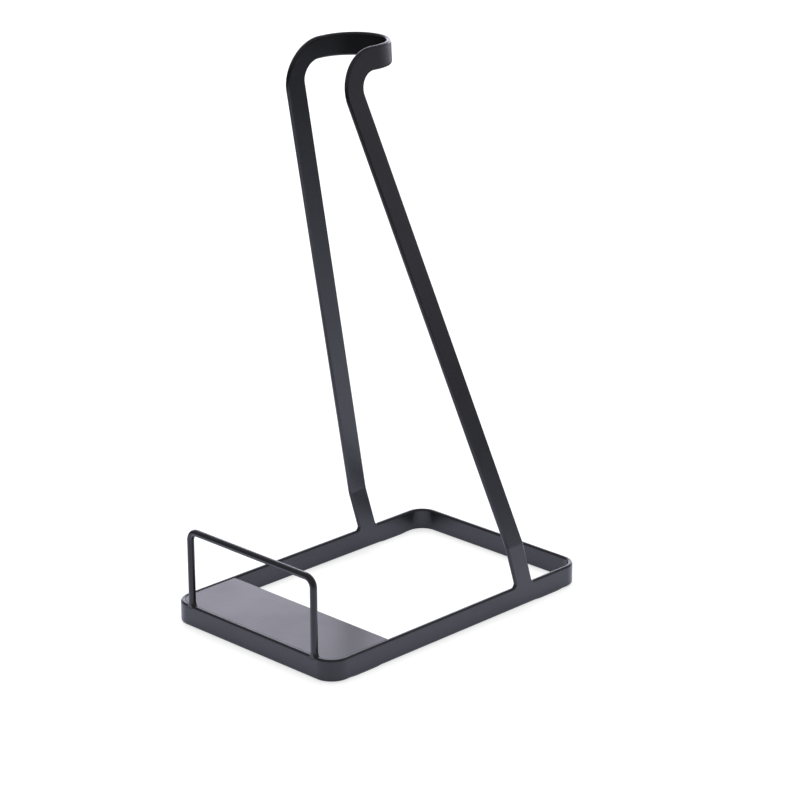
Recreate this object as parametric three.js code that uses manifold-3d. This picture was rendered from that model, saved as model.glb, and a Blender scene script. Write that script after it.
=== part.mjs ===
// A floor stand for a cordless stick vacuum cleaner, welded from bent steel bar and powder coated.
//
// Millimetres, +Z up. The origin is on the floor, under the middle of the base ring. X is the stand's
// width. The front is -Y: the cleaner's head stands on the plate there, and its body rests in the yoke.

import * as THREE from 'three';
import { mergeVertices } from 'three/addons/utils/BufferGeometryUtils.js';
import Module from 'manifold-3d';

// ---- Driving dimensions ---------------------------------------------------------------------------

const STAND_HEIGHT = 490; // floor to the yoke's top edge
const RING_DEPTH = 300; // outside, front to back
const RING_WIDTH = 192; // outside, side to side
const RING_CORNER_RADIUS = 17.5; // outside of the bend

// One flat bar section, used on edge in the ring and the upright.
const BAR_WIDTH = 19;
const BAR_THICKNESS = 4;
const BAR_EDGE_RADIUS = 1.5;

const LEG_FOOT_Y = 78; // middle of the leg where it stands on the ring
const LEG_LEAN_FORWARD = THREE.MathUtils.degToRad(17.1); // in the bar's own plane, from the foot up
const LEG_LEAN_IN = THREE.MathUtils.degToRad(8.6); // above the fold only
const FOLD_ABOVE_RING = 38; // height of the fold line over the ring's top edge
const SHOULDER_RADIUS = 23; // edgewise bend from leg to yoke arm, on the bar's middle line
const YOKE_ARM_LENGTH = 5; // level and straight, between the shoulder and the round end
const YOKE_DEPTH_RATIO = 1.08; // depth of the yoke's round end over its half width
const YOKE_TWIST_SPAN = THREE.MathUtils.degToRad(70); // turn in which the lean fades to upright

const PLATE_THICKNESS = 1.5;
const PLATE_SET_DOWN = 0.5; // plate's top below the ring's top edge
const PLATE_REACH = 67.5; // plate's free edge behind the ring's front face
const PLATE_CLEARANCE = 0.2; // to the ring's inner face
const PLATE_EDGE_RADIUS = 0.3;

const GUARD_ROD_DIAMETER = 6;
const GUARD_SPAN = 147; // between the middles of its legs
const GUARD_HEIGHT = 69.25; // ring's top edge to the top of the rod
const GUARD_BEND_RADIUS = 8.25; // on the rod's middle line

const LEG_WELD_RADIUS = 3; // hollow of the fillet between leg and ring
const GUARD_WELD_SPREAD = 1.4; // reach of the fillet around a guard leg
const GUARD_WELD_HEIGHT = 4;
const PLATE_WELD_RADIUS = 3;
const PLATE_WELD_LENGTH = 20;
const WELD_GAP = 0.05; // clearance between a weld and a face that isn't level

const PAD_THICKNESS = 0.5;
const PAD_WIDTH = 2.4;
const PAD_LENGTH = 36;
const PAD_Y = 110; // middle of a pad, in front of and behind the origin

// ---- Worked out from them -------------------------------------------------------------------------

const RING_BOTTOM = PAD_THICKNESS;
const RING_TOP = RING_BOTTOM + BAR_WIDTH;
const BAR_MIDDLE_X = (RING_WIDTH - BAR_THICKNESS) / 2; // of the ring's sides and of the legs' feet
const RING_INNER_X = RING_WIDTH / 2 - BAR_THICKNESS;
const RING_FRONT_Y = -RING_DEPTH / 2;
const RING_INNER_FRONT_Y = RING_FRONT_Y + BAR_THICKNESS;
const RING_INNER_RADIUS = RING_CORNER_RADIUS - BAR_THICKNESS;
const YOKE_MIDDLE_Z = STAND_HEIGHT - BAR_WIDTH / 2;
const PLATE_BOTTOM = RING_TOP - PLATE_SET_DOWN - PLATE_THICKNESS;
const PLATE_BACK_Y = RING_FRONT_Y + PLATE_REACH;
const GUARD_ROD_RADIUS = GUARD_ROD_DIAMETER / 2;
const GUARD_Y = RING_FRONT_Y + GUARD_ROD_RADIUS; // flush with the ring's front face
const GUARD_LEG_X = GUARD_SPAN / 2;
const PLATE_FRONT_WELD_X = RING_INNER_X / 2;

// ---- Facets ---------------------------------------------------------------------------------------

const RING_BEND_FACETS = 8; // in each corner, also in the plate's
const RING_EDGE_FACETS = 3;
const BAR_EDGE_FACETS = 3;
const SHOULDER_FACETS = 16;
const YOKE_FACETS = 14; // in each half
const PLATE_EDGE_FACETS = 2;
const GUARD_BEND_FACETS = 8;
const GUARD_ROD_FACETS = 10; // in each half of the section
const FILLET_FACETS = 6;
const COLLAR_FACETS = 32;
const PAD_END_FACETS = 4;

// ---- Materials ------------------------------------------------------------------------------------

const powderCoat = () => new THREE.MeshStandardMaterial({ color: 0x2c2c31, roughness: 0.5, metalness: 0 });
const rubber = () => new THREE.MeshStandardMaterial({ color: 0x1a1a1a, roughness: 0.9, metalness: 0 });

// ---- Helpers --------------------------------------------------------------------------------------

const v3 = (x, y, z) => new THREE.Vector3(x, y, z);
const stand = new THREE.Group();

function addPart(name, geometry, material) {
  const mesh = new THREE.Mesh(geometry, material);
  mesh.name = name;
  stand.add(mesh);
}

// A path for ExtrudeGeometry that is given station by station: the section's centre, and the vectors
// that its x and y lie along. A vector longer than 1 stretches the section, as a slanting cut does.
class StationPath extends THREE.Curve {
  constructor(stations) {
    super();
    this.stations = stations;
  }

  getSpacedPoints() {
    return this.stations.map((station) => station.centre);
  }

  computeFrenetFrames() {
    const normals = this.stations.map((station) => station.sectionX);
    const binormals = this.stations.map((station) => station.sectionY);
    return { normals, binormals, tangents: [] };
  }
}

function sweep(section, stations, curveSegments) {
  const extrudePath = new StationPath(stations);
  return new THREE.ExtrudeGeometry(section, { steps: stations.length - 1, curveSegments, extrudePath });
}

function roundedRectangle(Outline, width, height, radius) {
  const x = width / 2 - radius;
  const y = height / 2 - radius;
  const outline = new Outline();
  outline.absarc(x, y, radius, 0, Math.PI / 2);
  outline.absarc(-x, y, radius, Math.PI / 2, Math.PI);
  outline.absarc(-x, -y, radius, Math.PI, 1.5 * Math.PI);
  outline.absarc(x, -y, radius, 1.5 * Math.PI, 2 * Math.PI);
  outline.closePath();
  return outline;
}

function toManifold(wasm, geometry) {
  const bare = geometry.clone();
  bare.deleteAttribute('normal');
  bare.deleteAttribute('uv');
  const merged = mergeVertices(bare);
  const vertProperties = merged.attributes.position.array;
  const triVerts = new Uint32Array(merged.index.array);
  return new wasm.Manifold(new wasm.Mesh({ numProp: 3, vertProperties, triVerts }));
}

function fromManifold(manifold) {
  const mesh = manifold.getMesh();
  const geometry = new THREE.BufferGeometry();
  geometry.setAttribute('position', new THREE.BufferAttribute(new Float32Array(mesh.vertProperties), 3));
  geometry.setIndex(new THREE.BufferAttribute(new Uint32Array(mesh.triVerts), 1));
  geometry.computeVertexNormals();
  return geometry;
}

// ---- Base ring: one flat bar on edge, bent into a closed rounded rectangle ------------------------

function makeBaseRing() {
  const outline = roundedRectangle(THREE.Shape, RING_WIDTH, RING_DEPTH, RING_CORNER_RADIUS);
  const innerWidth = RING_WIDTH - 2 * BAR_THICKNESS;
  const innerDepth = RING_DEPTH - 2 * BAR_THICKNESS;
  outline.holes.push(roundedRectangle(THREE.Path, innerWidth, innerDepth, RING_INNER_RADIUS));
  const geometry = new THREE.ExtrudeGeometry(outline, {
    depth: BAR_WIDTH - 2 * BAR_EDGE_RADIUS,
    bevelThickness: BAR_EDGE_RADIUS,
    bevelSize: BAR_EDGE_RADIUS,
    bevelOffset: -BAR_EDGE_RADIUS,
    bevelSegments: RING_EDGE_FACETS,
    curveSegments: RING_BEND_FACETS,
  });
  return geometry.translate(0, 0, RING_BOTTOM + BAR_EDGE_RADIUS);
}

// ---- Upright: one flat bar, up the right side, round the yoke and down the left side --------------

// Each leg lies in a sheet that rises from the ring's side and is folded in along a level line. `rise`
// is the height up the sheet from the ring's top edge, and y is the depth.
const YOKE_RISE = FOLD_ABOVE_RING + (YOKE_MIDDLE_Z - RING_TOP - FOLD_ABOVE_RING) / Math.cos(LEG_LEAN_IN);

function sheetPoint(y, rise) {
  const above = Math.max(rise - FOLD_ABOVE_RING, 0);
  const below = Math.min(rise, FOLD_ABOVE_RING);
  const x = BAR_MIDDLE_X - above * Math.sin(LEG_LEAN_IN);
  return v3(x, y, RING_TOP + below + above * Math.cos(LEG_LEAN_IN));
}

// A station in a leg, with the bar cut across from the back edge along `widthY`, `widthRise`.
function legStation(y, rise, widthY, widthRise, lean, stretch = 1) {
  const outward = v3(Math.cos(lean), 0, Math.sin(lean)).multiplyScalar(stretch);
  const upSheet = v3(-Math.sin(lean), 0, Math.cos(lean));
  const widthVector = v3(0, widthY, 0).addScaledVector(upSheet, widthRise);
  return { centre: sheetPoint(y, rise), sectionX: outward, sectionY: widthVector };
}

function rightHalfOfUpright() {
  const levelCut = 1 / Math.cos(LEG_LEAN_FORWARD); // the bar's width along a level cut
  const legY = (rise) => LEG_FOOT_Y - rise * Math.tan(LEG_LEAN_FORWARD);
  const foldLean = LEG_LEAN_IN / 2;
  const foldStretch = 1 / Math.cos(foldLean);
  const stations = [
    legStation(legY(0), 0, levelCut, 0, 0),
    legStation(legY(FOLD_ABOVE_RING), FOLD_ABOVE_RING, levelCut, 0, foldLean, foldStretch),
  ];

  // The shoulder bends the bar edgewise, from leaning forward to level and running back.
  const shoulderRise = YOKE_RISE - SHOULDER_RADIUS;
  const shoulderStart = shoulderRise - SHOULDER_RADIUS * Math.sin(LEG_LEAN_FORWARD);
  const shoulderY = legY(shoulderStart) + SHOULDER_RADIUS * Math.cos(LEG_LEAN_FORWARD);
  for (let step = 0; step <= SHOULDER_FACETS; step++) {
    const turn = THREE.MathUtils.lerp(-LEG_LEAN_FORWARD, Math.PI / 2, step / SHOULDER_FACETS);
    const y = shoulderY - SHOULDER_RADIUS * Math.cos(turn);
    const rise = shoulderRise + SHOULDER_RADIUS * Math.sin(turn);
    stations.push(legStation(y, rise, Math.cos(turn), -Math.sin(turn), LEG_LEAN_IN));
  }

  // The yoke's round end is half an ellipse. The bar's lean fades as it turns towards the back.
  const halfWidth = sheetPoint(0, YOKE_RISE).x;
  for (let step = 0; step <= YOKE_FACETS; step++) {
    const turn = (step / YOKE_FACETS) * (Math.PI / 2);
    const lean = LEG_LEAN_IN * (1 - THREE.MathUtils.smoothstep(turn, 0, YOKE_TWIST_SPAN));
    const x = halfWidth * Math.cos(turn);
    const y = shoulderY + YOKE_ARM_LENGTH + halfWidth * YOKE_DEPTH_RATIO * Math.sin(turn);
    const level = v3(YOKE_DEPTH_RATIO * Math.cos(turn), Math.sin(turn), 0).normalize();
    const outward = level.clone().multiplyScalar(Math.cos(lean)).setZ(Math.sin(lean));
    const down = level.clone().multiplyScalar(Math.sin(lean)).setZ(-Math.cos(lean));
    stations.push({ centre: v3(x, y, YOKE_MIDDLE_Z), sectionX: outward, sectionY: down });
  }
  return stations;
}

function mirrored(station) {
  const flip = v3(-1, 1, 1);
  return {
    centre: station.centre.clone().multiply(flip),
    sectionX: station.sectionX.clone().multiply(flip),
    sectionY: station.sectionY.clone().multiply(flip),
  };
}

function makeUpright() {
  const right = rightHalfOfUpright();
  const left = right.slice(0, -1).map(mirrored).reverse();
  const section = roundedRectangle(THREE.Shape, BAR_THICKNESS, BAR_WIDTH, BAR_EDGE_RADIUS);
  return sweep(section, [...right, ...left], BAR_EDGE_FACETS);
}

// ---- Front plate: sheet steel between the ring's sides --------------------------------------------

function makePlate() {
  const halfWidth = RING_INNER_X - PLATE_CLEARANCE;
  const front = RING_INNER_FRONT_Y + PLATE_CLEARANCE;
  const radius = RING_INNER_RADIUS - PLATE_CLEARANCE;
  const outline = new THREE.Shape();
  outline.moveTo(halfWidth, PLATE_BACK_Y);
  outline.lineTo(-halfWidth, PLATE_BACK_Y);
  outline.absarc(-halfWidth + radius, front + radius, radius, Math.PI, 1.5 * Math.PI);
  outline.absarc(halfWidth - radius, front + radius, radius, 1.5 * Math.PI, 2 * Math.PI);
  outline.closePath();
  const geometry = new THREE.ExtrudeGeometry(outline, {
    depth: PLATE_THICKNESS - 2 * PLATE_EDGE_RADIUS,
    bevelThickness: PLATE_EDGE_RADIUS,
    bevelSize: PLATE_EDGE_RADIUS,
    bevelOffset: -PLATE_EDGE_RADIUS,
    bevelSegments: PLATE_EDGE_FACETS,
    curveSegments: RING_BEND_FACETS,
  });
  return geometry.translate(0, 0, PLATE_BOTTOM + PLATE_EDGE_RADIUS);
}

// ---- Guard rail: one round rod, bent into a hoop across the front ---------------------------------

function makeGuard() {
  const bendX = GUARD_LEG_X - GUARD_BEND_RADIUS;
  const bendZ = RING_TOP + GUARD_HEIGHT - GUARD_ROD_RADIUS - GUARD_BEND_RADIUS;
  const back = v3(0, -1, 0);
  const stations = [];
  const addStation = (x, z, turn) => {
    const outward = v3(Math.cos(turn), 0, Math.sin(turn));
    stations.push({ centre: v3(x, GUARD_Y, z), sectionX: outward, sectionY: back });
  };
  addStation(-GUARD_LEG_X, RING_TOP, Math.PI);
  for (const side of [-1, 1]) {
    for (let step = 0; step <= GUARD_BEND_FACETS; step++) {
      const quarter = (step / GUARD_BEND_FACETS) * (Math.PI / 2);
      const turn = side < 0 ? Math.PI - quarter : Math.PI / 2 - quarter;
      const x = side * bendX + GUARD_BEND_RADIUS * Math.cos(turn);
      addStation(x, bendZ + GUARD_BEND_RADIUS * Math.sin(turn), turn);
    }
  }
  addStation(GUARD_LEG_X, RING_TOP, 0);
  const section = new THREE.Shape();
  section.absarc(0, 0, GUARD_ROD_RADIUS, 0, 2 * Math.PI);
  return sweep(section, stations, GUARD_ROD_FACETS);
}

// ---- Welds ----------------------------------------------------------------------------------------

// A fillet with a hollow face, in the corner between two faces that meet at `angle`. It runs `length`
// to both sides of `corner`. `along` points away along one face, and `up` is square to it.
function makeFillet(corner, along, up, angle, radius, length) {
  const legLength = radius / Math.tan(angle / 2);
  const profile = new THREE.Shape();
  profile.moveTo(0, 0);
  profile.lineTo(legLength, 0);
  profile.absarc(legLength, radius, radius, 1.5 * Math.PI, angle + Math.PI / 2, true);
  profile.closePath();
  const options = { depth: length, bevelEnabled: false, curveSegments: FILLET_FACETS };
  const geometry = new THREE.ExtrudeGeometry(profile, options);
  geometry.translate(0, 0, -length / 2);
  const turned = new THREE.Matrix4().makeBasis(along, up, along.clone().cross(up));
  return geometry.applyMatrix4(turned).translate(corner.x, corner.y, corner.z);
}

// The guard legs' fillet is a collar with a hollow face, ground flush with the ring's front face.
function makeGuardWeld(wasm, x) {
  const bore = GUARD_ROD_RADIUS + WELD_GAP;
  const rim = bore + GUARD_WELD_SPREAD;
  const profile = [new THREE.Vector2(bore, 0)];
  const lastTurn = 0.45 * Math.PI; // short of the rod, so that the collar has no knife edge
  for (let step = 0; step <= FILLET_FACETS; step++) {
    const turn = (step / FILLET_FACETS) * lastTurn;
    const radius = rim - GUARD_WELD_SPREAD * Math.sin(turn);
    profile.push(new THREE.Vector2(radius, GUARD_WELD_HEIGHT * (1 - Math.cos(turn))));
  }
  profile.push(new THREE.Vector2(bore, profile.at(-1).y), profile[0].clone());
  const collar = new THREE.LatheGeometry(profile, COLLAR_FACETS);
  collar.rotateX(Math.PI / 2).translate(x, GUARD_Y, RING_TOP);
  const cutDepth = rim;
  const front = new THREE.BoxGeometry(4 * rim, cutDepth, 4 * GUARD_WELD_HEIGHT);
  front.translate(x, RING_FRONT_Y - cutDepth / 2, RING_TOP);
  return fromManifold(toManifold(wasm, collar).subtract(toManifold(wasm, front)));
}

function addLegWelds() {
  const halfFoot = BAR_WIDTH / 2 / Math.cos(LEG_LEAN_FORWARD);
  const length = BAR_THICKNESS - BAR_EDGE_RADIUS;
  for (const [sideName, side] of [['left', -1], ['right', 1]]) {
    for (const [endName, end] of [['front', -1], ['back', 1]]) {
      const corner = v3(side * BAR_MIDDLE_X, LEG_FOOT_Y + end * (halfFoot + WELD_GAP), RING_TOP);
      const angle = Math.PI / 2 + end * LEG_LEAN_FORWARD;
      const fillet = makeFillet(corner, v3(0, end, 0), v3(0, 0, 1), angle, LEG_WELD_RADIUS, length);
      addPart(`${sideName}_leg_weld_${endName}`, fillet, powderCoat());
    }
  }
}

// Short fillets hold the plate from underneath: two along the front bar, and two along each side.
function addPlateWelds() {
  const makeWeld = (x, y, along) => {
    const corner = v3(x, y, PLATE_BOTTOM);
    return makeFillet(corner, along, v3(0, 0, -1), Math.PI / 2, PLATE_WELD_RADIUS, PLATE_WELD_LENGTH);
  };
  const sideStart = RING_INNER_FRONT_Y + RING_INNER_RADIUS + PLATE_WELD_LENGTH / 2;
  const sideEnd = PLATE_BACK_Y - PLATE_WELD_LENGTH / 2;
  for (const [sideName, side] of [['left', -1], ['right', 1]]) {
    const frontWeld = makeWeld(side * PLATE_FRONT_WELD_X, RING_INNER_FRONT_Y, v3(0, 1, 0));
    addPart(`plate_weld_front_${sideName}`, frontWeld, powderCoat());
    for (const [placeName, y] of [['fore', sideStart], ['aft', sideEnd]]) {
      const sideWeld = makeWeld(side * RING_INNER_X, y, v3(-side, 0, 0));
      addPart(`plate_weld_${sideName}_${placeName}`, sideWeld, powderCoat());
    }
  }
}

// ---- Floor pads: thin non-slip strips under the ring's sides --------------------------------------

function makePad(x, y) {
  const endRadius = 0.49 * PAD_WIDTH; // almost a half circle, which leaves a short straight end
  const outline = roundedRectangle(THREE.Shape, PAD_WIDTH, PAD_LENGTH, endRadius);
  const options = { depth: PAD_THICKNESS, bevelEnabled: false, curveSegments: PAD_END_FACETS };
  return new THREE.ExtrudeGeometry(outline, options).translate(x, y, 0);
}

// ---- Assembly -------------------------------------------------------------------------------------

const wasm = await Module();
wasm.setup();

addPart('base_ring', makeBaseRing(), powderCoat());
addPart('upright', makeUpright(), powderCoat());
addPart('front_plate', makePlate(), powderCoat());
addPart('guard_rail', makeGuard(), powderCoat());
addLegWelds();
addPlateWelds();
for (const [sideName, side] of [['left', -1], ['right', 1]]) {
  addPart(`guard_weld_${sideName}`, makeGuardWeld(wasm, side * GUARD_LEG_X), powderCoat());
  addPart(`floor_pad_${sideName}_front`, makePad(side * BAR_MIDDLE_X, -PAD_Y), rubber());
  addPart(`floor_pad_${sideName}_back`, makePad(side * BAR_MIDDLE_X, PAD_Y), rubber());
}

export default stand;
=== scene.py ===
"""Looks of a powder-coated steel floor stand for a stick vacuum cleaner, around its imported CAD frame.

Metres, +Z up, the front at -Y, as in the CAD. Each CAD node is replaced by a piece with the same sizes and
finer bends, rounder bar edges and uneven weld surfaces. Nothing moves, so every piece rides on the one body.
"""

import math

import bmesh
import bpy
from mathutils import Matrix, Vector


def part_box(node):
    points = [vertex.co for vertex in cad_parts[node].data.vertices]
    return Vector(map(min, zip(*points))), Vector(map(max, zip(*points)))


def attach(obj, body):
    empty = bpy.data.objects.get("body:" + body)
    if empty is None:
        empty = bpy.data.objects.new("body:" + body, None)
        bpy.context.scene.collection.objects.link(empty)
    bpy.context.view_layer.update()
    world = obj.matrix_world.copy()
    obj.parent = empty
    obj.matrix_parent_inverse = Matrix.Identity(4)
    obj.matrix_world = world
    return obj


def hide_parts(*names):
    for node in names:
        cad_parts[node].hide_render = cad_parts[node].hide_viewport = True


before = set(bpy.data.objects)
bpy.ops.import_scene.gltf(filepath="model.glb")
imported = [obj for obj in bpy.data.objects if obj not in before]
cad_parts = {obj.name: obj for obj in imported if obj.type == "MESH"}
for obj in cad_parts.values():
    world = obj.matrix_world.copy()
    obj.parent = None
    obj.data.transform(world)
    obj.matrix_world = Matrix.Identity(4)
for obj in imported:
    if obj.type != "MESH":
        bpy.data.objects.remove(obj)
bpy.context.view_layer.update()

MM = 0.001
BODY = "root"

# ---- Sizes read from the frame ----------------------------------------------------------------------

RING_LOW, RING_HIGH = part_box("base_ring")
PLATE_LOW, PLATE_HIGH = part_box("front_plate")
GUARD_LOW, GUARD_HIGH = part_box("guard_rail")
STAND_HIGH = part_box("upright")[1]

RING_TOP = RING_HIGH.z
BAR_WIDTH = RING_HIGH.z - RING_LOW.z
ROD_RADIUS = (GUARD_HIGH.y - GUARD_LOW.y) / 2
GUARD_LEG_X = GUARD_HIGH.x - ROD_RADIUS
GUARD_Y = GUARD_LOW.y + ROD_RADIUS

# ---- Sizes that the boxes don't give, as in the CAD -------------------------------------------------

BAR_THICKNESS = 4 * MM
RING_CORNER_RADIUS = 17.5 * MM  # outside of the bend
LEG_FOOT_Y = 78 * MM
LEG_LEAN_FORWARD = math.radians(17.1)
LEG_LEAN_IN = math.radians(8.6)  # above the fold only
FOLD_ABOVE_RING = 38 * MM
SHOULDER_RADIUS = 23 * MM
YOKE_ARM_LENGTH = 5 * MM
YOKE_DEPTH_RATIO = 1.08  # depth of the yoke's round end over its half width
YOKE_TWIST_SPAN = math.radians(70)  # turn in which the lean fades to upright
GUARD_BEND_RADIUS = 8.25 * MM
LEG_WELD_RADIUS = 3 * MM
GUARD_WELD_SPREAD = 1.4 * MM
GUARD_WELD_HEIGHT = 4 * MM

# ---- Fine shape that the CAD leaves out -------------------------------------------------------------

EDGE_RADIUS = 1.9 * MM  # the bar is rolled with almost fully round edges
FOLD_RADIUS = 16 * MM  # a crease in the CAD
PLATE_EDGE_RADIUS = 0.45 * MM
PLATE_BACK_CORNER = 1 * MM
PLATE_TUCK = 0.35 * MM  # how far the sheet reaches in under the ring's rounded edge

PAD_CUPPING = 0.4 * MM  # how far a pad is pressed up round the bar's underside
PAD_SIDE_INSET = 0.25 * MM  # how much narrower a pad is than in the CAD, on each side
PAD_EDGE_RADIUS = 0.4 * MM
PAD_THINNED_LENGTH = 9 * MM  # at each end
PAD_THINNING = 0.8  # share of the thickness gone at the very end

COLLAR_OVERLAP = 0.3 * MM  # how far a guard weld reaches into the rod
COLLAR_SKIRT = 0.4 * MM  # and down into the ring at its rim
COLLAR_WAVES = ((0.08, 3, 1), (0.05, 7, 0))  # share of the height, number round the collar, start

BEAD_INSET = 0.3 * MM  # how much shorter a bead's legs are than its CAD solid is high
BEAD_OVERLAP = 0.08  # share of the leg length that it reaches into the wall and the plate
BEAD_HOLLOW = 0.22  # share of the leg length by which its face sags at 45 degrees
BEAD_END_LENGTH = 3 * MM  # in which each end tapers off
BEAD_LEAST_END = 0.1  # share of full size at the very end
RIPPLE_LENGTH = 1.6 * MM
RIPPLE_HEIGHT = 0.05  # share of the bead's size

# ---- How finely the bends are cut -------------------------------------------------------------------

BAR_EDGE_STEPS = 8
BAR_SIDE_STEP = 3 * MM
RING_BEND_STEPS = 24
RING_SIDE_STEP = 15 * MM
FOOT_STEPS = 6
FOLD_STEPS = 5
LEG_STEPS = 40
SHOULDER_STEPS = 48
HALF_YOKE_STEPS = 48
ROD_SECTION_STEPS = 40
ROD_LEG_STEPS = 10
ROD_BEND_STEPS = 24
SHEET_EDGE_STEPS = 5
PLATE_CORNER_STEPS = 14
PLATE_SIDE_STEP = 8 * MM
PAD_CORNER_STEPS = 10
PAD_SIDE_STEP = 1 * MM
FILLET_STEPS = 16
FILLET_EDGE_STEPS = 12
COLLAR_PROFILE_STEPS = 10
COLLAR_STEPS = 48
BEAD_SECTION_STEPS = 8
BEAD_STEPS = 96
SAME_POINT = 0.001 * MM  # points nearer than this count as one
SHARP_ANGLE = math.radians(50)  # faces that meet more steeply look creased

BAR_MIDDLE_X = RING_HIGH.x - BAR_THICKNESS / 2
YOKE_MIDDLE_Z = STAND_HIGH.z - BAR_WIDTH / 2
UP = Vector((0, 0, 1))
ACROSS = Vector((1, 0, 0))
BACKWARD = Vector((0, 1, 0))


# ---- Mesh making ------------------------------------------------------------------------------------

def rounded_outline(low, high, radii, corner_steps, side_step):
    """A rectangle with round corners, anticlockwise, as points, normals and edge values.

    The edge value is 1 in the middle of each corner and 0 along the sides.
    """
    signs = ((1, 1), (-1, 1), (-1, -1), (1, -1))
    arcs = []
    for index, ((sign_x, sign_y), radius) in enumerate(zip(signs, radii)):
        centre_x = (high[0] if sign_x > 0 else low[0]) - sign_x * radius
        centre_y = (high[1] if sign_y > 0 else low[1]) - sign_y * radius
        arc = []
        for step in range(corner_steps + 1):
            share = step / corner_steps
            turn = math.pi / 2 * (index + share)
            normal = Vector((math.cos(turn), math.sin(turn)))
            arc.append((Vector((centre_x, centre_y)) + normal * radius, normal, 4 * share * (1 - share)))
        arcs.append(arc)
    outline = []
    for arc, next_arc in zip(arcs, arcs[1:] + arcs[:1]):
        start, normal, _ = arc[-1]
        side = next_arc[0][0] - start
        meets_next_arc = side.length < SAME_POINT
        outline += arc[:-1] if meets_next_arc else arc
        steps = max(1, round(side.length / side_step))
        outline += [(start + side * (step / steps), normal, 0.0) for step in range(1, steps)]
    return outline


def make_object(name, vertices, faces, normals=None, edges=None):
    """A closed mesh with smooth faces, exact normals where they are given, and the `edge` attribute."""
    mesh = bpy.data.meshes.new(name)
    mesh.from_pydata([tuple(vertex) for vertex in vertices], [], faces)
    work = bmesh.new()
    work.from_mesh(mesh)
    bmesh.ops.recalc_face_normals(work, faces=work.faces)
    work.to_mesh(mesh)
    work.free()
    mesh.polygons.foreach_set("use_smooth", [True] * len(mesh.polygons))
    edge = mesh.attributes.new("edge", "FLOAT", "POINT")
    edge.data.foreach_set("value", edges or [0.0] * len(vertices))
    if normals:
        mesh.normals_split_custom_set_from_vertices([tuple(normal) for normal in normals])
    else:
        mesh.set_sharp_from_angle(angle=SHARP_ANGLE)
    piece = bpy.data.objects.new(name, mesh)
    bpy.context.scene.collection.objects.link(piece)
    return piece


def grid_faces(rows, columns, wrap_rows, wrap_columns):
    """Four-sided faces between rows of vertices, which may close on themselves either way."""
    faces = []
    for row in range(rows if wrap_rows else rows - 1):
        for column in range(columns if wrap_columns else columns - 1):
            next_row, next_column = (row + 1) % rows, (column + 1) % columns
            here, there = row * columns, next_row * columns
            faces.append((here + column, here + next_column, there + next_column, there + column))
    return faces


def sweep(name, section, stations, closed=False, exact_normals=True):
    """Sweeps a section along stations, each a centre and the vectors that its x and y lie along."""
    vertices, normals, edges = [], [], []
    for centre, x_vector, y_vector in stations:
        x_unit, y_unit = x_vector.normalized(), y_vector.normalized()
        for point, normal, edge in section:
            vertices.append(centre + x_vector * point.x + y_vector * point.y)
            normals.append((x_unit * normal.x + y_unit * normal.y).normalized())
            edges.append(edge)
    count = len(section)
    faces = grid_faces(len(stations), count, closed, True)
    if not closed:
        faces.append(tuple(range(count)))
        faces.append(tuple(range(len(vertices) - count, len(vertices))))
    return make_object(name, vertices, faces, normals if exact_normals else None, edges)


def spread(start, end, steps):
    """Evenly spaced values from start to end, both included."""
    return [start + (end - start) * step / steps for step in range(steps + 1)]


HALF_BAR = (BAR_THICKNESS / 2, BAR_WIDTH / 2)
BAR_SECTION = rounded_outline(
    (-HALF_BAR[0], -HALF_BAR[1]), HALF_BAR, [EDGE_RADIUS] * 4, BAR_EDGE_STEPS, BAR_SIDE_STEP
)


# ---- Ring, upright and guard rail -------------------------------------------------------------------

def make_ring():
    """The flat bar on edge, bent into a closed rounded rectangle."""
    inset = BAR_THICKNESS / 2
    low = (RING_LOW.x + inset, RING_LOW.y + inset)
    high = (RING_HIGH.x - inset, RING_HIGH.y - inset)
    radii = [RING_CORNER_RADIUS - inset] * 4
    middle_z = (RING_LOW.z + RING_HIGH.z) / 2
    stations = []
    for point, normal, _ in rounded_outline(low, high, radii, RING_BEND_STEPS, RING_SIDE_STEP):
        stations.append((Vector((*point, middle_z)), Vector((*normal, 0)), UP))
    return sweep("ring_bar", BAR_SECTION, stations, closed=True)


FOLD_HALF = FOLD_RADIUS * LEG_LEAN_IN / 2  # length of bar in half the fold


def sheet_point(y, rise):
    """A point of the right leg's folded sheet, by its depth and its height up the sheet, and its lean."""
    past_start = min(max(rise - (FOLD_ABOVE_RING - FOLD_HALF), 0), 2 * FOLD_HALF)
    lean = past_start / FOLD_RADIUS
    above = max(rise - (FOLD_ABOVE_RING + FOLD_HALF), 0)
    x = BAR_MIDDLE_X - FOLD_RADIUS * (1 - math.cos(lean)) - above * math.sin(LEG_LEAN_IN)
    z = min(rise, FOLD_ABOVE_RING - FOLD_HALF) + FOLD_RADIUS * math.sin(lean) + above * math.cos(LEG_LEAN_IN)
    return Vector((x, y, RING_TOP + z)), lean


def leg_station(y, rise, width_y, width_rise):
    """A cut across the leg, with the bar's width along the given parts of depth and of rise."""
    centre, lean = sheet_point(y, rise)
    outward = Vector((math.cos(lean), 0, math.sin(lean)))
    up_sheet = Vector((-math.sin(lean), 0, math.cos(lean)))
    return centre, outward, Vector((0, width_y, 0)) + up_sheet * width_rise


def leg_y(rise):
    """The depth of the leg's middle line at this height up the sheet."""
    return LEG_FOOT_Y - rise * math.tan(LEG_LEAN_FORWARD)


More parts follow.
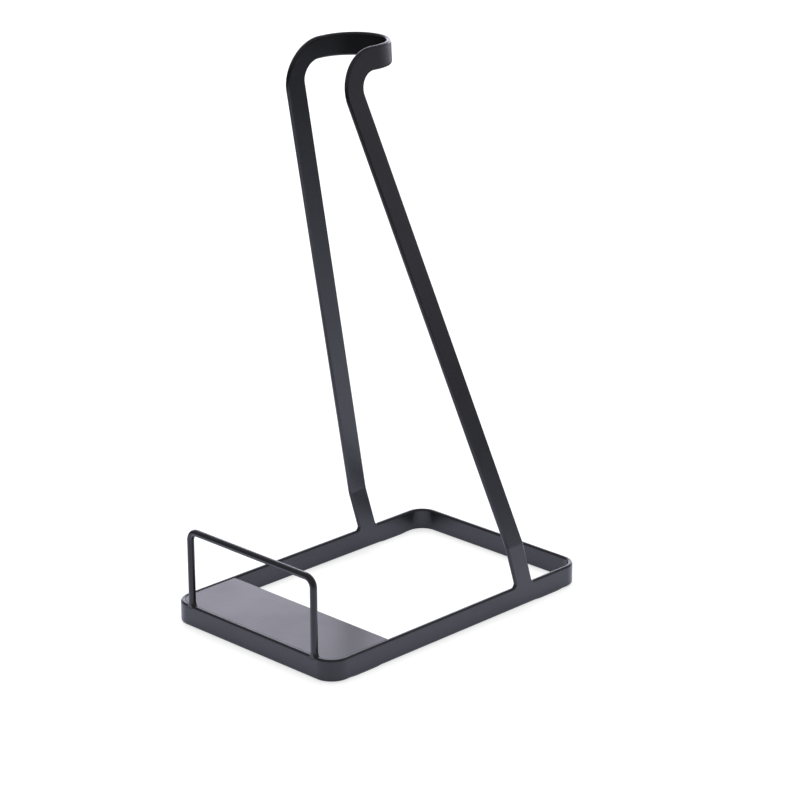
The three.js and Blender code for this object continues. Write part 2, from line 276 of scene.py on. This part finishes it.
def right_half_of_upright():
    """The stations of the right leg and half the yoke, from the foot to the middle of the back."""
    fold_end = FOLD_ABOVE_RING + FOLD_HALF
    top_rise = fold_end + (YOKE_MIDDLE_Z - sheet_point(0, fold_end)[0].z) / math.cos(LEG_LEAN_IN)
    shoulder_rise = top_rise - SHOULDER_RADIUS
    shoulder_start = shoulder_rise - SHOULDER_RADIUS * math.sin(LEG_LEAN_FORWARD)
    shoulder_y = leg_y(shoulder_start) + SHOULDER_RADIUS * math.cos(LEG_LEAN_FORWARD)

    # The foot and the fold are cut level. The foot reaches down over the ring's rounded edge.
    level_cut = 1 / math.cos(LEG_LEAN_FORWARD)
    rises = spread(-EDGE_RADIUS, FOLD_ABOVE_RING - FOLD_HALF, FOOT_STEPS)
    rises += spread(FOLD_ABOVE_RING - FOLD_HALF, FOLD_ABOVE_RING + FOLD_HALF, FOLD_STEPS)[1:]
    stations = [leg_station(leg_y(rise), rise, level_cut, 0) for rise in rises]
    square_cut = (math.cos(LEG_LEAN_FORWARD), math.sin(LEG_LEAN_FORWARD))
    for rise in spread(fold_end + BAR_WIDTH, shoulder_start, LEG_STEPS)[:-1]:
        stations.append(leg_station(leg_y(rise), rise, *square_cut))

    for turn in spread(-LEG_LEAN_FORWARD, math.pi / 2, SHOULDER_STEPS):
        y = shoulder_y - SHOULDER_RADIUS * math.cos(turn)
        rise = shoulder_rise + SHOULDER_RADIUS * math.sin(turn)
        stations.append(leg_station(y, rise, math.cos(turn), -math.sin(turn)))

    # The yoke's round end is half an ellipse. The bar's lean fades as it turns towards the back.
    half_width = sheet_point(0, top_rise)[0].x
    for turn in spread(0, math.pi / 2, HALF_YOKE_STEPS):
        share = min(turn / YOKE_TWIST_SPAN, 1)
        eased = share * share * (3 - 2 * share)
        lean = LEG_LEAN_IN * (1 - eased)
        x = half_width * math.cos(turn)
        y = shoulder_y + YOKE_ARM_LENGTH + half_width * YOKE_DEPTH_RATIO * math.sin(turn)
        level = Vector((YOKE_DEPTH_RATIO * math.cos(turn), math.sin(turn), 0)).normalized()
        outward = level * math.cos(lean) + UP * math.sin(lean)
        down = level * math.sin(lean) - UP * math.cos(lean)
        stations.append((Vector((x, y, YOKE_MIDDLE_Z)), outward, down))
    return stations


def make_upright():
    """Both legs and the yoke, as one bent bar."""
    flip = Matrix.Diagonal((-1, 1, 1))
    right = right_half_of_upright()
    left = [tuple(flip @ vector for vector in station) for station in reversed(right[:-1])]
    return sweep("upright_bar", BAR_SECTION, right + left)


def make_guard():
    """The round rod, bent into a hoop. Its feet reach down over the ring's rounded edge."""
    bend_x = GUARD_LEG_X - GUARD_BEND_RADIUS
    bend_z = GUARD_HIGH.z - ROD_RADIUS - GUARD_BEND_RADIUS
    foot_z = RING_TOP - EDGE_RADIUS
    places = [(-GUARD_LEG_X, z, math.pi) for z in spread(foot_z, bend_z, ROD_LEG_STEPS)[:-1]]
    for side, start in ((-1, math.pi), (1, math.pi / 2)):
        for turn in spread(start, start - math.pi / 2, ROD_BEND_STEPS):
            x = side * bend_x + GUARD_BEND_RADIUS * math.cos(turn)
            places.append((x, bend_z + GUARD_BEND_RADIUS * math.sin(turn), turn))
    places += [(GUARD_LEG_X, z, 0) for z in spread(bend_z, foot_z, ROD_LEG_STEPS)[1:]]
    to_front = Vector((0, -1, 0))
    stations = []
    for x, z, turn in places:
        stations.append((Vector((x, GUARD_Y, z)), Vector((math.cos(turn), 0, math.sin(turn))), to_front))
    section = []
    for turn in spread(0, 2 * math.pi, ROD_SECTION_STEPS)[:-1]:
        normal = Vector((math.cos(turn), math.sin(turn)))
        section.append((normal * ROD_RADIUS, normal, 0.0))
    return sweep("guard_rod", section, stations)


# ---- Front plate and floor pads ---------------------------------------------------------------------

def rounded_slab(name, outline, low_z, high_z, radius):
    """A flat slab with this outline, whose top and bottom edges are rounded."""
    vertices, normals, edges = [], [], []
    levels = [(low_z + radius, turn) for turn in spread(-math.pi / 2, 0, SHEET_EDGE_STEPS)]
    levels += [(high_z - radius, turn) for turn in spread(0, math.pi / 2, SHEET_EDGE_STEPS)]
    for middle_z, turn in levels:
        out, rise = math.cos(turn), math.sin(turn)
        for point, normal, _ in outline:
            inset = point - normal * radius * (1 - out)
            vertices.append(Vector((*inset, middle_z + radius * rise)))
            normals.append(Vector((*(normal * out), rise)))
            edges.append(abs(math.sin(2 * turn)))
    count = len(outline)
    faces = grid_faces(len(levels), count, False, True)
    faces.append(tuple(range(count)))
    faces.append(tuple(range(len(vertices) - count, len(vertices))))
    return make_object(name, vertices, faces, normals, edges)


def make_plate():
    """The sheet between the ring's sides. Its front corners follow the ring's bends."""
    side = RING_HIGH.x - BAR_THICKNESS + PLATE_TUCK
    front = RING_LOW.y + BAR_THICKNESS - PLATE_TUCK
    bend = RING_CORNER_RADIUS - BAR_THICKNESS + PLATE_TUCK
    radii = (PLATE_BACK_CORNER, PLATE_BACK_CORNER, bend, bend)
    low, high = (-side, front), (side, PLATE_HIGH.y)
    outline = rounded_outline(low, high, radii, PLATE_CORNER_STEPS, PLATE_SIDE_STEP)
    return rounded_slab("plate_sheet", outline, PLATE_LOW.z, PLATE_HIGH.z, PLATE_EDGE_RADIUS)


def make_pad(node):
    """A strip of rubber with round, thinned ends, pressed up round the bar's rounded underside."""
    low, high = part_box(node)
    low_corner, high_corner = (low.x + PAD_SIDE_INSET, low.y), (high.x - PAD_SIDE_INSET, high.y)
    radius = (high_corner[0] - low_corner[0]) / 2
    outline = rounded_outline(low_corner, high_corner, [radius] * 4, PAD_CORNER_STEPS, PAD_SIDE_STEP)
    top = high.z + PAD_CUPPING
    pad = rounded_slab(node.replace("floor_pad", "rubber_pad"), outline, low.z, top, PAD_EDGE_RADIUS)
    for vertex in pad.data.vertices:
        from_end = min(vertex.co.y - low.y, high.y - vertex.co.y)
        thinned = max(1 - from_end / PAD_THINNED_LENGTH, 0) ** 2
        vertex.co.z += (top - vertex.co.z) * PAD_THINNING * thinned
    return pad


# ---- Welds ------------------------------------------------------------------------------------------

def make_leg_weld(name, side, end):
    """The ground fillet between a leg and the ring, which carries both bars' rounded edges through."""
    angle = math.pi / 2 + end * LEG_LEAN_FORWARD
    along = Vector((0, end, 0))
    half_foot = BAR_WIDTH / 2 / math.cos(LEG_LEAN_FORWARD)
    corner = Vector((side * BAR_MIDDLE_X, LEG_FOOT_Y, RING_TOP)) + along * half_foot
    centre = corner + along * (LEG_WELD_RADIUS / math.tan(angle / 2)) + UP * LEG_WELD_RADIUS
    hidden = corner - along * (EDGE_RADIUS / math.tan(angle / 2)) - UP * EDGE_RADIUS

    # Across the bar, the fillet's surface turns from one side over the middle to the other.
    half_flat = BAR_THICKNESS / 2 - EDGE_RADIUS
    tilts = spread(-math.pi / 2, math.pi / 2, FILLET_EDGE_STEPS)
    rows = []
    for turn in spread(1.5 * math.pi, angle + math.pi / 2, FILLET_STEPS):
        outward = along * math.cos(turn) + UP * math.sin(turn)
        row = []
        for step, tilt in enumerate(tilts):
            which_side = (step > FILLET_EDGE_STEPS / 2) - (step < FILLET_EDGE_STEPS / 2)
            x = which_side * half_flat + EDGE_RADIUS * math.sin(tilt)
            inset = EDGE_RADIUS * (1 - math.cos(tilt))
            place = centre + outward * (LEG_WELD_RADIUS + inset) + ACROSS * x
            row.append((place, ACROSS * math.sin(tilt) - outward * math.cos(tilt)))
        rows.append(row)
    towards_centre = (centre - hidden).normalized()
    rows.append([
        (hidden + ACROSS * (place - centre).x, ACROSS * math.sin(tilt) + towards_centre * math.cos(tilt))
        for (place, _), tilt in zip(rows[0], tilts)
    ])
    points = [point for row in rows for point in row]
    count = len(tilts)
    faces = grid_faces(len(rows), count, True, False)
    faces.append(tuple(range(0, len(points), count)))
    faces.append(tuple(range(count - 1, len(points), count)))
    edges = [abs(math.sin(2 * tilt)) for tilt in tilts] * len(rows)
    return make_object(name, [place for place, _ in points], faces, [normal for _, normal in points], edges)


def ring_drop(y):
    """How far the surface under a guard leg lies below the ring's top: the rounded bar, then the plate."""
    off_middle = abs(y - (RING_LOW.y + BAR_THICKNESS / 2)) - (BAR_THICKNESS / 2 - EDGE_RADIUS)
    depth = min(max(off_middle, 0), EDGE_RADIUS)
    bar_drop = EDGE_RADIUS - math.sqrt(EDGE_RADIUS ** 2 - depth ** 2)
    return min(bar_drop, RING_TOP - PLATE_HIGH.z) if y > GUARD_Y else bar_drop


def make_guard_weld(name, middle_x):
    """The hollow fillet round a guard leg's foot, ground flush with the ring's front face."""
    rim = ROD_RADIUS + GUARD_WELD_SPREAD
    inside = ROD_RADIUS - COLLAR_OVERLAP
    profile = [(inside, -EDGE_RADIUS, 1), (inside, GUARD_WELD_HEIGHT, 1)]
    for turn in spread(math.pi / 2, 0, COLLAR_PROFILE_STEPS):
        climb = math.sin(turn)
        profile.append((rim - GUARD_WELD_SPREAD * climb, GUARD_WELD_HEIGHT * (1 - math.cos(turn)), climb))
    profile.append((rim, -COLLAR_SKIRT, 0))
    vertices = []
    for radius, height, lift in profile:
        for turn in spread(0, 2 * math.pi, COLLAR_STEPS)[:-1]:
            unevenness = 1 + sum(size * math.sin(count * turn + start) for size, count, start in COLLAR_WAVES)
            x = middle_x + radius * math.cos(turn)
            y = max(GUARD_Y + radius * math.sin(turn), RING_LOW.y)
            z = RING_TOP + height * unevenness - ring_drop(y) * (1 - lift)
            vertices.append((x, y, z))
    return make_object(name, vertices, grid_faces(len(profile), COLLAR_STEPS, True, True))


def make_plate_weld(node):
    """A short rippled bead in the corner between the ring's inner face and the plate's underside."""
    low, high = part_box(node)
    middle = (low + high) / 2
    size = high.z - low.z - BEAD_INSET
    if high.x - low.x > high.y - low.y:
        half = (high.x - low.x) / 2
        corner = Vector((middle.x, low.y, high.z))
        away, run = BACKWARD, ACROSS
    else:
        half = (high.y - low.y) / 2
        side = math.copysign(1, middle.x)
        corner = Vector((side * max(abs(low.x), abs(high.x)), middle.y, high.z))
        away, run = -ACROSS * side, BACKWARD
    section = [(Vector((-BEAD_OVERLAP, -BEAD_OVERLAP)), Vector((-1, -1)), 0.0)]
    for turn in spread(0, math.pi / 2, BEAD_SECTION_STEPS):
        normal = Vector((math.cos(turn), math.sin(turn)))
        section.append((normal * (1 - BEAD_HOLLOW * math.sin(2 * turn)), normal, 0.0))
    stations = []
    for place in spread(-half, half, BEAD_STEPS):
        into_end = max(abs(place) - (half - BEAD_END_LENGTH), 0) / BEAD_END_LENGTH
        taper = math.sqrt(max(1 - into_end ** 2, BEAD_LEAST_END ** 2))
        ripple = 1 + RIPPLE_HEIGHT * math.cos(2 * math.pi * place / RIPPLE_LENGTH)
        reach = size * taper * ripple
        stations.append((corner + run * place, away * reach, -UP * reach))
    return sweep(node.replace("plate_weld", "plate_bead"), section, stations, exact_normals=False)


# ---- Materials --------------------------------------------------------------------------------------

# The coat is near black, so almost all that is seen of it is what it mirrors.
COAT_DARK, COAT_PALE = (0.0035, 0.0035, 0.0038), (0.0090, 0.0090, 0.0098)
COAT_IOR = 1.5
COAT_SMOOTH, COAT_ROUGH = 0.30, 0.36
CLOUD_SIZE, SPECKLE_SIZE, RUB_PATCH_SIZE = 35 * MM, 0.9 * MM, 9 * MM
CLOUD_SHARE, SPECKLE_SHARE, RUB_SHARE = 0.35, 0.25, 0.4  # of the coat's range from dark to pale
LEAST_RUB, RUB_POLISH = 0.15, 0.05  # rub left between the patches, and what full rub takes off roughness
USUAL_NOISE = (0.3, 0.7)  # most values of a noise lie between these
RUB_PATCH_NOISE = (0.4, 0.7)
ORANGE_PEEL_SIZE, ORANGE_PEEL_DEPTH = 2.4 * MM, 0.055 * MM
GRAIN_SIZE, GRAIN_DEPTH = 0.8 * MM, 0.030 * MM
WELD_LUMP_SIZE, WELD_LUMP_DEPTH = 1.7 * MM, 0.10 * MM

RUBBER_DARK, RUBBER_DUSTY = (0.012, 0.012, 0.012), (0.035, 0.034, 0.033)
RUBBER_SMOOTH, RUBBER_ROUGH = 0.7, 0.88
BLOOM_SIZE = 6 * MM
PIT_SIZE, PIT_DEPTH = 0.35 * MM, 0.05 * MM


class Nodes:
    """Short ways to add and link shader nodes to one material."""

    def __init__(self, name):
        self.material = bpy.data.materials.new(name)
        self.material.use_nodes = True
        self.tree = self.material.node_tree
        self.shader = self.tree.nodes["Principled BSDF"]
        self.place = self.tree.nodes.new("ShaderNodeTexCoord").outputs["Object"]

    def noise(self, size, detail=2.0):
        """Cloudy noise with features of this size in metres."""
        node = self.tree.nodes.new("ShaderNodeTexNoise")
        node.inputs["Scale"].default_value = 1 / size
        node.inputs["Detail"].default_value = detail
        self.tree.links.new(self.place, node.inputs["Vector"])
        return node.outputs["Fac"]

    def attribute(self, name):
        """A number that the mesh stores at each vertex."""
        node = self.tree.nodes.new("ShaderNodeAttribute")
        node.attribute_name = name
        return node.outputs["Fac"]

    def map(self, value, low, high, to_low, to_high):
        """Moves the range low to high onto another range, and holds the values past its ends."""
        node = self.tree.nodes.new("ShaderNodeMapRange")
        for socket, number in zip(("From Min", "From Max", "To Min", "To Max"), (low, high, to_low, to_high)):
            node.inputs[socket].default_value = number
        self.tree.links.new(value, node.inputs["Value"])
        return node.outputs["Result"]

    def math(self, operation, first, second):
        """Works on two values, each a number or another node's output."""
        node = self.tree.nodes.new("ShaderNodeMath")
        node.operation = operation
        for socket, value in zip(node.inputs, (first, second)):
            if isinstance(value, (int, float)):
                socket.default_value = value
            else:
                self.tree.links.new(value, socket)
        return node.outputs["Value"]

    def mix(self, share, first, second):
        """Colour from first to second, where share goes from 0 to 1."""
        node = self.tree.nodes.new("ShaderNodeValToRGB")
        node.color_ramp.elements[0].color = (*first, 1)
        node.color_ramp.elements[1].color = (*second, 1)
        self.tree.links.new(share, node.inputs["Fac"])
        return node.outputs["Color"]

    def bump(self, height, depth, under=None):
        """Bumps of this depth in metres, over the ones under them."""
        node = self.tree.nodes.new("ShaderNodeBump")
        node.inputs["Distance"].default_value = depth
        self.tree.links.new(height, node.inputs["Height"])
        if under:
            self.tree.links.new(under, node.inputs["Normal"])
        return node.outputs["Normal"]

    def link(self, value, socket):
        """Lets the value drive one of the shader's own sockets."""
        self.tree.links.new(value, self.shader.inputs[socket])


def powder_coat(name, lump_depth=0.0):
    """Satin black powder coat: orange peel, a fine grain, and edges rubbed a little lighter and smoother."""
    nodes = Nodes(name)
    nodes.shader.inputs["IOR"].default_value = COAT_IOR
    cloud = nodes.noise(CLOUD_SIZE, detail=3)
    rub_patches = nodes.map(nodes.noise(RUB_PATCH_SIZE, detail=3), *RUB_PATCH_NOISE, LEAST_RUB, 1)
    rub = nodes.math("MULTIPLY", nodes.attribute("edge"), rub_patches)

    tone = nodes.math("MULTIPLY", cloud, CLOUD_SHARE)
    tone = nodes.math("ADD", tone, nodes.math("MULTIPLY", nodes.noise(SPECKLE_SIZE), SPECKLE_SHARE))
    tone = nodes.math("ADD", tone, nodes.math("MULTIPLY", rub, RUB_SHARE))
    nodes.link(nodes.mix(tone, COAT_DARK, COAT_PALE), "Base Color")

    roughness = nodes.map(cloud, *USUAL_NOISE, COAT_SMOOTH, COAT_ROUGH)
    nodes.link(nodes.math("SUBTRACT", roughness, nodes.math("MULTIPLY", rub, RUB_POLISH)), "Roughness")

    surface = nodes.bump(nodes.noise(ORANGE_PEEL_SIZE), ORANGE_PEEL_DEPTH)
    surface = nodes.bump(nodes.noise(GRAIN_SIZE), GRAIN_DEPTH, surface)
    if lump_depth:
        surface = nodes.bump(nodes.noise(WELD_LUMP_SIZE), lump_depth, surface)
    nodes.link(surface, "Normal")
    return nodes.material


def pad_rubber():
    """Black cast rubber, dull and finely pitted, with a dusty bloom."""
    nodes = Nodes("pad_rubber")
    bloom = nodes.noise(BLOOM_SIZE, detail=4)
    nodes.link(nodes.mix(bloom, RUBBER_DARK, RUBBER_DUSTY), "Base Color")
    nodes.link(nodes.map(bloom, *USUAL_NOISE, RUBBER_SMOOTH, RUBBER_ROUGH), "Roughness")
    nodes.link(nodes.bump(nodes.noise(PIT_SIZE, detail=3), PIT_DEPTH), "Normal")
    return nodes.material


# ---- Assembly ---------------------------------------------------------------------------------------

COAT = powder_coat("powder_coat")
WELD_COAT = powder_coat("powder_coat_on_weld", WELD_LUMP_DEPTH)
RUBBER = pad_rubber()
SIDES = (("left", -1), ("right", 1))
ENDS = (("front", -1), ("back", 1))


def stands_for(piece, node, material):
    """Gives the piece its material, fixes it to the one body and puts it in the CAD node's place."""
    piece.data.materials.append(material)
    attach(piece, BODY)
    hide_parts(node)


stands_for(make_ring(), "base_ring", COAT)
stands_for(make_upright(), "upright", COAT)
stands_for(make_plate(), "front_plate", COAT)
stands_for(make_guard(), "guard_rail", COAT)
for side_name, side in SIDES:
    collar = make_guard_weld(f"guard_fillet_{side_name}", side * GUARD_LEG_X)
    stands_for(collar, f"guard_weld_{side_name}", WELD_COAT)
    for end_name, end in ENDS:
        fillet = make_leg_weld(f"{side_name}_leg_fillet_{end_name}", side, end)
        stands_for(fillet, f"{side_name}_leg_weld_{end_name}", WELD_COAT)
        pad = f"floor_pad_{side_name}_{end_name}"
        stands_for(make_pad(pad), pad, RUBBER)
    for place in (f"front_{side_name}", f"{side_name}_fore", f"{side_name}_aft"):
        bead = f"plate_weld_{place}"
        stands_for(make_plate_weld(bead), bead, WELD_COAT)


# ---- Stage: pale floor, soft light and what the coat reflects ---------------------------------------

WHITE = (1, 1, 1)
BLACK = (0, 0, 0)
FLOOR_TINT = (0.775, 0.80, 0.98)
WALL_TINT = (0.87, 0.855, 1.0)

FLOOR_RADIUS = 7.0
FLOOR_GREY, FLOOR_GLOW = (0.45, 0.45, 0.45), 0.65
SURROUND_GLOW = 1.03
REFLECTED_FLOOR_Z, REFLECTED_FLOOR_GLOW = 0.02 * MM, 0.45
LIT_RADIUS, FALL_OFF, FALL_OFF_POWER = 0.15, 2.7, 1.5
CEILING_RADIUS, CEILING_LOWEST, CEILING_GLOW = 25, math.radians(8), 0.45
DOME_TOP = 0.499 * math.pi  # just short of straight up
WALL_STEPS = 40

SKY_STRENGTH = 0.7
KEY_STRENGTH, KEY_WIDTH = 2.0, math.radians(60)
KEY_FROM = Vector((-0.5, 0.5, 1.4))


def stage_surface(name, vertices, faces, seen_by, material):
    """Adds a part of the stage that is seen only by the named kinds of ray."""
    mesh = bpy.data.meshes.new(name)
    mesh.from_pydata(vertices, [], faces)
    mesh.polygons.foreach_set("use_smooth", [True] * len(faces))
    mesh.materials.append(material)
    surface = bpy.data.objects.new(name, mesh)
    bpy.context.scene.collection.objects.link(surface)
    for kind in ("camera", "diffuse", "glossy", "transmission", "volume_scatter", "shadow"):
        setattr(surface, f"visible_{kind}", kind in seen_by)


def disc(radius, z, steps=96):
    """A flat round sheet at this height."""
    turns = spread(0, 2 * math.pi, steps)[:-1]
    return [(radius * math.cos(turn), radius * math.sin(turn), z) for turn in turns], [tuple(range(steps))]


def dome(radius, lowest, columns=64, rows=16):
    """The inside of a round room, from this angle above the floor up to its top."""
    places = []
    for rise in spread(lowest, DOME_TOP, rows):
        level = radius * math.cos(rise)
        for turn in spread(0, 2 * math.pi, columns)[:-1]:
            places.append((level * math.cos(turn), level * math.sin(turn), radius * math.sin(rise)))
    return places, grid_faces(rows + 1, columns, False, True)


def plain(name, colour, glow=0.0):
    """A dull surface of one colour, or a black one that glows in that colour."""
    nodes = Nodes(name)
    nodes.shader.inputs["Base Color"].default_value = (*BLACK, 1) if glow else (*colour, 1)
    nodes.shader.inputs["Roughness"].default_value = 1.0
    nodes.shader.inputs["Specular IOR Level"].default_value = 0.0
    nodes.shader.inputs["Emission Color"].default_value = (*colour, 1)
    nodes.shader.inputs["Emission Strength"].default_value = glow
    return nodes


def glowing_wall(name, start, end, distance, height, glow):
    """An upright wall between two bearings in degrees, which fades out from a third of its height up."""
    vertices = []
    for turn in spread(math.radians(start), math.radians(end), WALL_STEPS):
        for z in (0, height):
            vertices.append((distance * math.cos(turn), distance * math.sin(turn), z))
    wall = plain(name, WALL_TINT, glow)
    separate = wall.tree.nodes.new("ShaderNodeSeparateXYZ")
    wall.tree.links.new(wall.place, separate.inputs[0])
    wall.link(wall.map(separate.outputs["Z"], height / 3, height, glow, 0), "Emission Strength")
    faces = grid_faces(WALL_STEPS + 1, 2, False, False)
    stage_surface(name, vertices, faces, ("glossy",), wall.material)


def reflected_floor():
    """What the coat reflects of the floor, which is lit round the stand and falls off into the dark room."""
    floor = plain("reflected_floor", FLOOR_TINT)
    distance = floor.tree.nodes.new("ShaderNodeVectorMath")
    distance.operation = "LENGTH"
    floor.tree.links.new(floor.place, distance.inputs[0])
    beyond = floor.math("SUBTRACT", distance.outputs["Value"], LIT_RADIUS)
    beyond = floor.math("POWER", floor.math("MAXIMUM", beyond, 0), FALL_OFF_POWER)
    brightness = floor.math("EXPONENT", floor.math("MULTIPLY", beyond, -FALL_OFF), 0)
    floor.link(floor.mix(brightness, BLACK, FLOOR_TINT), "Base Color")
    floor.link(floor.math("MULTIPLY", brightness, REFLECTED_FLOOR_GLOW), "Emission Strength")
    vertices, faces = disc(FLOOR_RADIUS, REFLECTED_FLOOR_Z)
    stage_surface("reflected_floor", vertices, faces, ("glossy",), floor.material)


# The floor that the camera sees, which the stand shades only faintly.
vertices, faces = disc(FLOOR_RADIUS, 0)
floor = plain("floor", FLOOR_GREY)
floor.shader.inputs["Emission Color"].default_value = (*WHITE, 1)
floor.shader.inputs["Emission Strength"].default_value = FLOOR_GLOW
stage_surface("floor", vertices, faces, ("camera", "diffuse", "shadow"), floor.material)

# The pale surround behind the floor's edge, for low views.
vertices, faces = dome(FLOOR_RADIUS, lowest=0)
surround = plain("surround", WHITE, SURROUND_GLOW)
stage_surface("surround", vertices, faces, ("camera",), surround.material)

# The bright wall stands to the left and behind, and the plate and all upward edges reflect it. The dimmer
# one stands to the right and behind. The faint ceiling comes down almost to the floor all round.
reflected_floor()
glowing_wall("bright_wall", start=97, end=168, distance=3, height=3, glow=3.6)
glowing_wall("dim_wall", start=0, end=97, distance=2.3, height=0.9, glow=1.0)
vertices, faces = dome(CEILING_RADIUS, CEILING_LOWEST)
ceiling = plain("ceiling", WALL_TINT, CEILING_GLOW)
stage_surface("ceiling", vertices, faces, ("glossy",), ceiling.material)

# The light from all round and the soft key light, which the coat doesn't mirror.
world = bpy.data.worlds.new("soft_light")
world.use_nodes = True
world.node_tree.nodes["Background"].inputs["Color"].default_value = (*WHITE, 1)
world.node_tree.nodes["Background"].inputs["Strength"].default_value = SKY_STRENGTH
world.cycles_visibility.camera = False
world.cycles_visibility.glossy = False
bpy.context.scene.world = world

key = bpy.data.lights.new("key", "SUN")
key.energy = KEY_STRENGTH
key.angle = KEY_WIDTH
key_light = bpy.data.objects.new("key", key)
key_light.rotation_euler = KEY_FROM.to_track_quat("Z", "Y").to_euler()
key_light.visible_glossy = False
bpy.context.scene.collection.objects.link(key_light)

# ---- Camera -----------------------------------------------------------------------------------------

# The photo's view, fitted together with the stand's sizes.
CAMERA_AZIMUTH = math.radians(44.74)
CAMERA_ELEVATION = math.radians(19.18)
CAMERA_ROLL = math.radians(-0.255)
CAMERA_DISTANCE = 2.4
CAMERA_TARGET = Vector((0.00308, 0.02255, 0.17624))
CAMERA_LENS = 128.87
SENSOR_WIDTH = 36
FARTHEST_SEEN = 30

sin_azimuth, cos_azimuth = math.sin(CAMERA_AZIMUTH), math.cos(CAMERA_AZIMUTH)
level = math.cos(CAMERA_ELEVATION)
back = Vector((sin_azimuth * level, -cos_azimuth * level, math.sin(CAMERA_ELEVATION)))
right = Vector((cos_azimuth, sin_azimuth, 0))
up = back.cross(right)
rolled_right = right * math.cos(CAMERA_ROLL) + up * math.sin(CAMERA_ROLL)
rolled_up = up * math.cos(CAMERA_ROLL) - right * math.sin(CAMERA_ROLL)
turned = Matrix((rolled_right, rolled_up, back)).transposed().to_4x4()

lens = bpy.data.cameras.new("camera")
lens.lens = CAMERA_LENS
lens.sensor_width = SENSOR_WIDTH
lens.clip_end = FARTHEST_SEEN
camera = bpy.data.objects.new("camera", lens)
camera.matrix_world = Matrix.Translation(CAMERA_TARGET + back * CAMERA_DISTANCE) @ turned
bpy.context.scene.collection.objects.link(camera)
bpy.context.scene.camera = camera
bpy.context.scene.view_settings.view_transform = "Standard"
